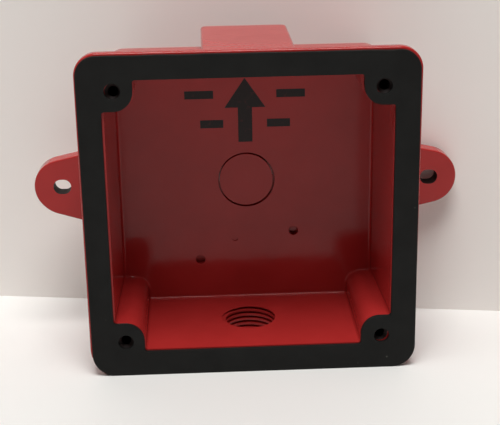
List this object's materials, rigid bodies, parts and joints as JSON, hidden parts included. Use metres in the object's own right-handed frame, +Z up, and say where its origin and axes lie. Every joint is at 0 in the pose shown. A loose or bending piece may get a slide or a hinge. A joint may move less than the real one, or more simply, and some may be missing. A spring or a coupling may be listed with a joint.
{
  "type": "surface back box",
  "caption": "Square cast back box with a flanged open front, rubber rim gasket, corner screw pillars, side mounting ears, a threaded conduit entry and a rear knockout.",
  "frame": {"origin": "on the wall plane, at the centre of the two ear slots, which is the centre of the back face", "axes": "+Y into the wall, -Y out of the open front, +Z up with the conduit entry at the bottom, +X to the right as seen from the front"},
  "size_m": [0.156, 0.0476, 0.1142],
  "materials": {
    "red_enamel": "gloss",
    "gasket_rubber": "matte"
  },
  "bodies": {
    "box": {"box_casting": "red_enamel", "rim_gasket": "gasket_rubber"},
    "knockout": {"rear_knockout": "red_enamel"}
  },
  "joints": [
    {"name": "knockout_push", "type": "slide", "parent": "box", "child": "knockout", "axis": [0, -1, 0], "range_m": [0, 0.058]}
  ]
}
